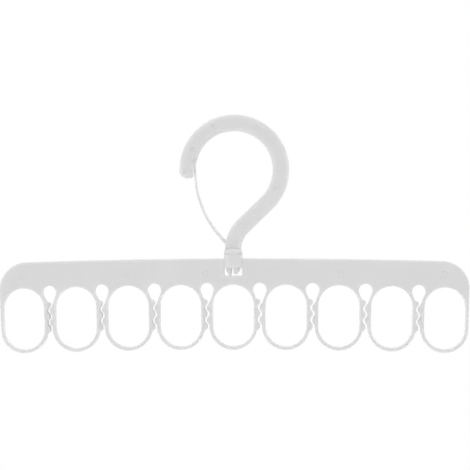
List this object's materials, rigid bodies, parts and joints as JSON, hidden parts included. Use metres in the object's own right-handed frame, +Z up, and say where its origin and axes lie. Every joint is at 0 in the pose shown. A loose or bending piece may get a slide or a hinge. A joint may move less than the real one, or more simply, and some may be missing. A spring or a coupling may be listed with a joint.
{
  "type": "rotating hook drying hanger",
  "caption": "Flat white plastic drying hanger: an arched beam with a row of loops and toothed sock grips, turning on a large hook with a springy gate strap.",
  "frame": {"origin": "on the swivel axis, at the crown of the hook's inside, where the hook bears on a pole", "axes": "+X along the beam away from the hook's open side, +Y away from the viewer of the front face, +Z up along the swivel axis"},
  "size_m": [0.4298, 0.0168, 0.2178],
  "materials": {
    "frame_white": "injection-moulded white polypropylene, satin",
    "hook_white": "injection-moulded white polypropylene, satin",
    "gate_white": "injection-moulded white polypropylene, thin and slightly see-through"
  },
  "bodies": {
    "hook": {"swivel_hook": "hook_white"},
    "gate": {"gate_strap": "gate_white"},
    "frame": {"top_beam": "frame_white", "loop_1": "frame_white", "loop_2": "frame_white", "loop_3": "frame_white", "loop_4": "frame_white", "loop_5": "frame_white", "loop_6": "frame_white", "loop_7": "frame_white", "loop_8": "frame_white", "loop_9": "frame_white"}
  },
  "joints": [
    {"name": "hook_swivel", "type": "hinge", "parent": "hook", "child": "frame", "pos_m": [0, 0, -0.1077], "axis": [0, 0, 1], "continuous": true},
    {"name": "gate_flex", "type": "hinge", "parent": "hook", "child": "gate", "pos_m": [-0.0176, 0, -0.0892], "axis": [0, 1, 0], "range_deg": [0, 35], "stiffness_Nm_per_rad": 0.25}
  ]
}
